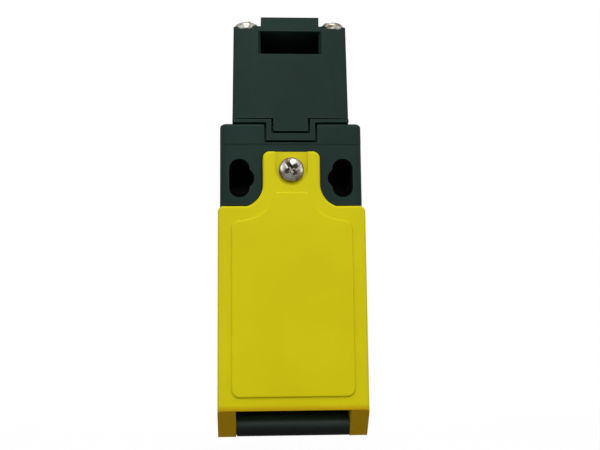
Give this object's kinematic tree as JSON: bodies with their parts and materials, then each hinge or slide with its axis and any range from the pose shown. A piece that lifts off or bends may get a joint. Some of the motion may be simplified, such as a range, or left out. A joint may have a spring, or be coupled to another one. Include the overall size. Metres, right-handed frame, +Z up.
{
  "type": "tongue interlock switch",
  "caption": "Narrow plastic safety switch with a slotted key head, a keyhole-slotted fixing block and a hinged wiring cover held by a screw.",
  "frame": {"origin": "on the rear mounting face, midway between the two fixing slots", "axes": "+X to the right as the front is seen, +Y back through the mounting face, +Z up towards the key head"},
  "size_m": [0.031, 0.0336, 0.0897],
  "materials": {
    "black_plastic": "fine moulded texture",
    "yellow_plastic": "smooth moulded, satin",
    "seal_rubber": "matte",
    "zinc_steel": "zinc plated",
    "nylon": "natural, satin",
    "grey_plastic": "satin",
    "brass": "satin",
    "sintered_steel": "grey sintered",
    "polished_steel": "polished",
    "spring_steel": "drawn wire",
    "silver": "silver plated"
  },
  "bodies": {
    "housing": {"body_housing": "black_plastic", "cover_screw_insert": "brass", "head_housing": "black_plastic", "head_base_plate": "black_plastic", "head_seal": "seal_rubber", "head_screws": "zinc_steel", "head_screw_inserts": "brass", "wheel_axle": "polished_steel", "plunger_bush": "brass", "plunger_seal": "seal_rubber", "plunger_washer": "polished_steel", "plunger_spring": "spring_steel", "contact_base": "grey_plastic", "contact_cap": "grey_plastic", "contact_strips": "brass", "fixed_contact_tips": "silver", "return_spring": "spring_steel", "terminal_screws": "zinc_steel", "clamp_plates": "zinc_steel"},
    "cover": {"cover": "yellow_plastic", "cover_gasket": "seal_rubber", "screw_retaining_ring": "nylon"},
    "cover_screw": {"cover_screw": "zinc_steel"},
    "key_wheel": {"key_wheel": "sintered_steel"},
    "plunger": {"plunger": "nylon"},
    "carrier": {"contact_carrier": "nylon", "safety_spring": "spring_steel", "signal_spring": "spring_steel"},
    "safety_bridge": {"safety_bridge": "silver"},
    "signal_bridge": {"signal_bridge": "silver"}
  },
  "joints": [
    {"name": "cover_hinge", "type": "hinge", "parent": "housing", "child": "cover", "pos_m": [0, -0.027, -0.0517], "axis": [1, 0, 0], "range_deg": [0, 100]},
    {"name": "cover_screw_release", "type": "slide", "parent": "cover", "child": "cover_screw", "axis": [0, -1, 0], "range_m": [0, 0.0058]},
    {"name": "key_wheel_turn", "type": "hinge", "parent": "housing", "child": "key_wheel", "pos_m": [0, -0.01865, 0.0228], "axis": [1, 0, 0], "range_deg": [-60, 0]},
    {"name": "plunger_slide", "type": "slide", "parent": "housing", "child": "plunger", "axis": [0, 0, 1], "range_m": [0, 0.003], "deforming": ["plunger_spring"]},
    {"name": "carrier_slide", "type": "slide", "parent": "housing", "child": "carrier", "axis": [0, 0, 1], "range_m": [0, 0.003], "deforming": ["return_spring"]},
    {"name": "safety_bridge_slide", "type": "slide", "parent": "carrier", "child": "safety_bridge", "axis": [0, 0, 1], "range_m": [-0.001, 0], "deforming": ["safety_spring"]},
    {"name": "signal_bridge_slide", "type": "slide", "parent": "carrier", "child": "signal_bridge", "axis": [0, 0, 1], "range_m": [-0.001, 0], "deforming": ["signal_spring"]}
  ],
  "couplings": [
    {"joint": "key_wheel_turn", "follows": "plunger_slide", "rad_per_m": -349.07},
    {"joint": "carrier_slide", "follows": "plunger_slide", "ratio": 1},
    {"joint": "safety_bridge_slide", "follows": "plunger_slide", "ratio": -0.33333},
    {"joint": "signal_bridge_slide", "follows": "plunger_slide", "ratio": -0.33333}
  ]
}
